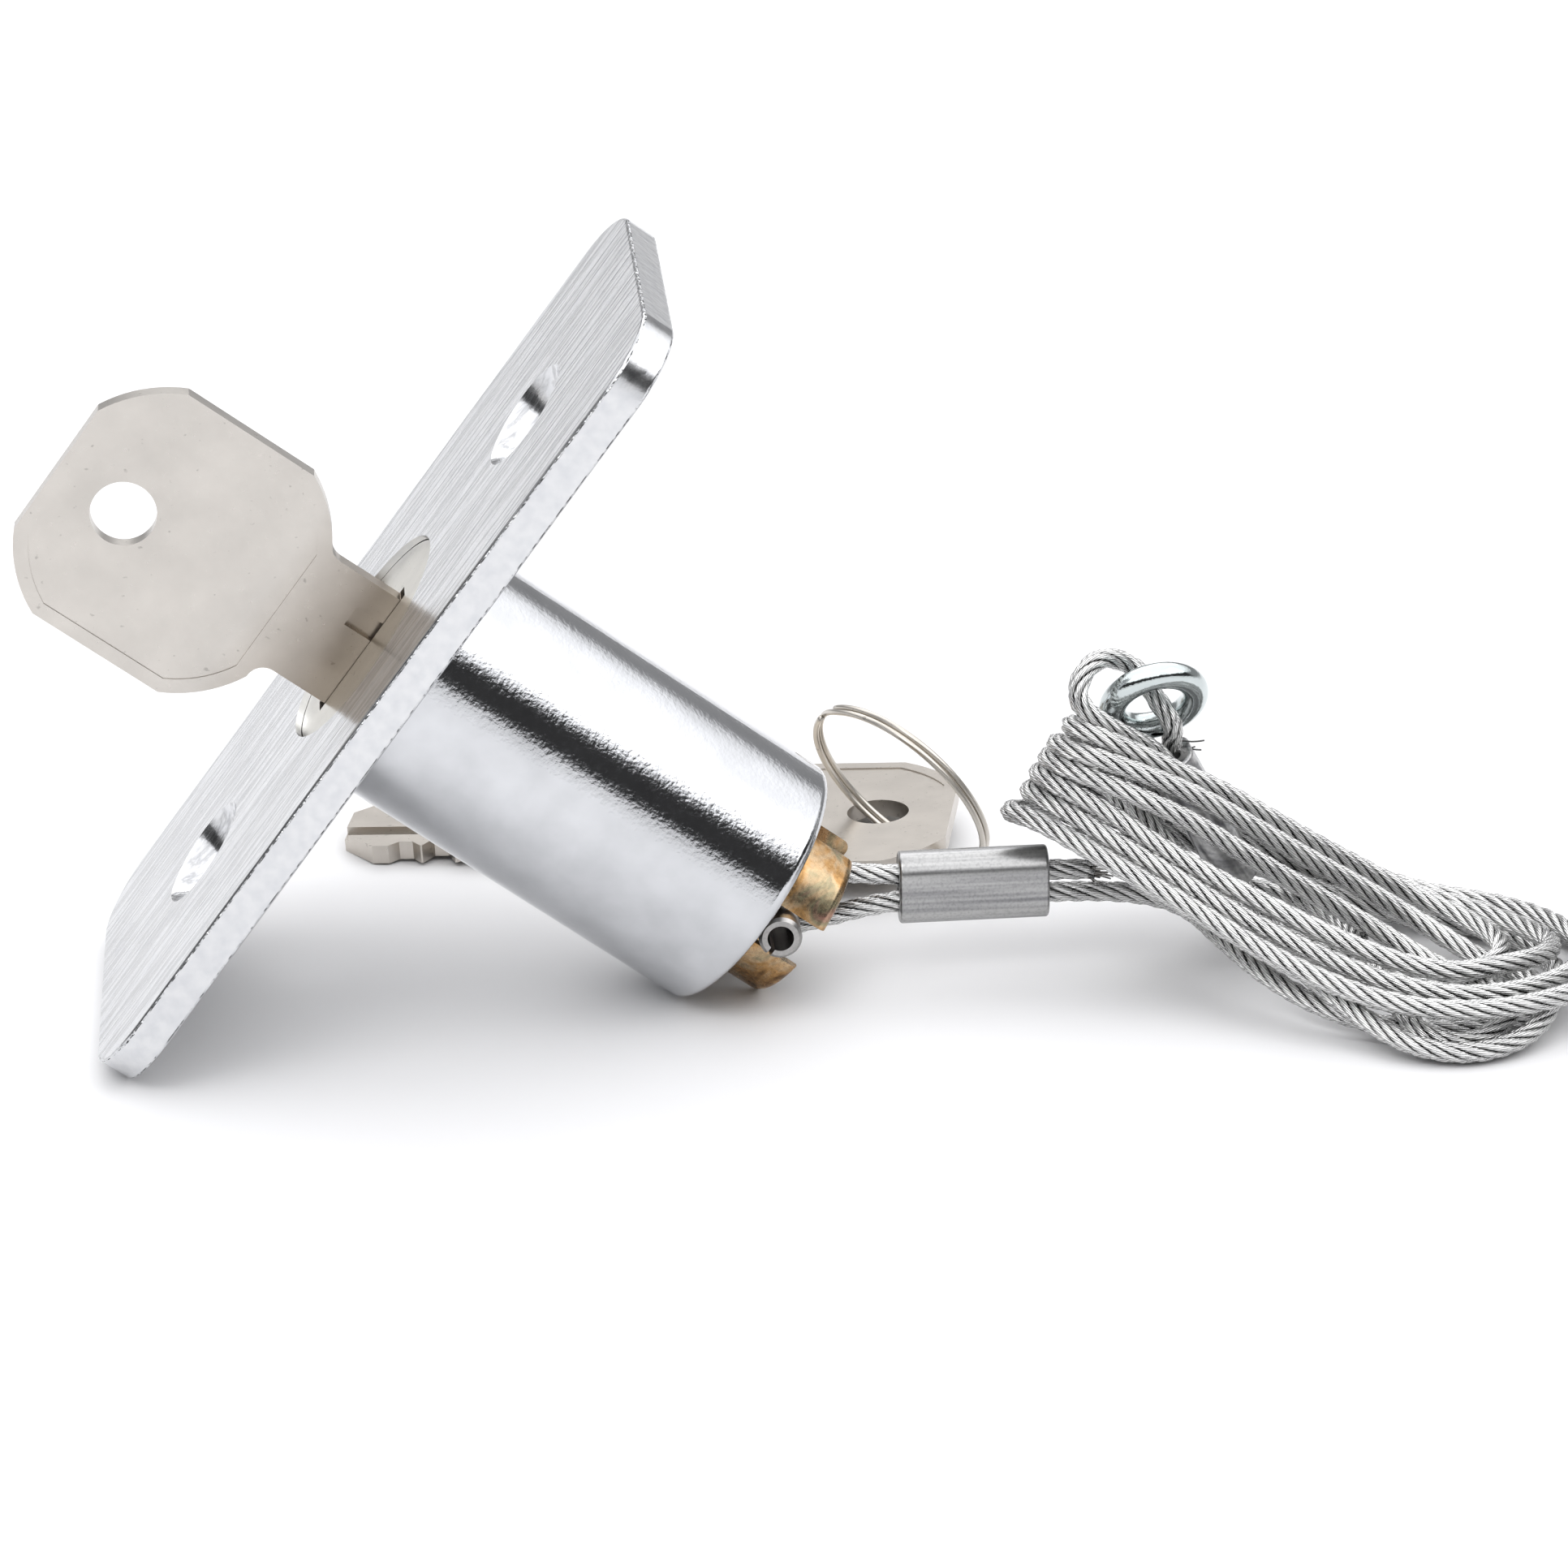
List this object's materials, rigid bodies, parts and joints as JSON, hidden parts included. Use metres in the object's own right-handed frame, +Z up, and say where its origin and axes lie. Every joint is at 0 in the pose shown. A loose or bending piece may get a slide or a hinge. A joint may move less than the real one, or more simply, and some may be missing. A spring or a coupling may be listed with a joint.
{
  "type": "key release with cable",
  "caption": "Keyed emergency release: a wall plate and barrel whose key plug pulls out a coiled steel cable that ends in a ring, with a spare key on a split ring.",
  "frame": {"origin": "middle of the footprint of the lock, spare key and split ring, on the table", "axes": "+Z up from the table; +X from the faceplate towards the cable; -Y towards the plate's near edge"},
  "size_m": [0.1714, 0.0838, 0.0831],
  "materials": {
    "plate_steel": "satin, brushed along its length",
    "barrel_chrome": "bright plated",
    "plug_chrome": "bright plated",
    "brass": "machined",
    "key_nickel": "nickel silver, tumbled",
    "yellow_zinc": "yellow passivated zinc",
    "pin_steel": "spring steel, dark",
    "ferrule_aluminium": "pressed",
    "rope_galvanised": "galvanised wire rope",
    "ring_zinc": "bright zinc"
  },
  "bodies": {
    "housing": {"faceplate": "plate_steel", "barrel": "barrel_chrome", "spare_key": "key_nickel"},
    "cylinder": {"sleeve": "brass", "castellated_retainer": "yellow_zinc", "retainer_screw": "pin_steel", "roll_pin": "pin_steel", "cable_lead": "rope_galvanised", "ferrule_1": "ferrule_aluminium", "cable_coil": "rope_galvanised", "cable_end_eye": "rope_galvanised", "ferrule_2": "ferrule_aluminium"},
    "plug": {"lock_plug": "plug_chrome", "tumbler_1": "brass", "tumbler_2": "brass", "tumbler_3": "brass", "tumbler_4": "brass", "tumbler_5": "brass", "tumbler_spring_1": "pin_steel", "tumbler_spring_2": "pin_steel", "tumbler_spring_3": "pin_steel", "tumbler_spring_4": "pin_steel", "tumbler_spring_5": "pin_steel"},
    "bolt": {"locking_bolt": "brass"},
    "key": {"key": "key_nickel"},
    "cable_ring": {"end_ring": "ring_zinc"},
    "key_ring": {"split_ring": "pin_steel"}
  },
  "joints": [
    {"name": "plug_pull", "type": "slide", "parent": "housing", "child": "cylinder", "axis": [-0.7976, 0, 0.6032], "range_m": [0, 0.01]},
    {"name": "key_turn", "type": "hinge", "parent": "cylinder", "child": "plug", "pos_m": [-0.0137, -0.01436, 0.04036], "axis": [0.7976, 0, -0.6032], "range_deg": [0, 90]},
    {"name": "bolt_throw", "type": "slide", "parent": "cylinder", "child": "bolt", "axis": [0.6032, 0, 0.7976], "range_m": [0, 0.00221]},
    {"name": "key_withdraw", "type": "slide", "parent": "plug", "child": "key", "axis": [-0.7976, 0, 0.6032], "range_m": [0, 0.034]},
    {"name": "cable_ring_turn", "type": "hinge", "parent": "cylinder", "child": "cable_ring", "pos_m": [0.0696, -0.01116, 0.02967], "axis": [0.1439, -0.8245, -0.5472], "continuous": true},
    {"name": "key_ring_turn", "type": "hinge", "parent": "housing", "child": "key_ring", "pos_m": [0.0436, 0.01204, 0.0114], "axis": [0.668, 0.5638, 0.4857], "continuous": true}
  ],
  "couplings": [
    {"joint": "bolt_throw", "follows": "key_turn", "m_per_rad": 0.0014006}
  ]
}
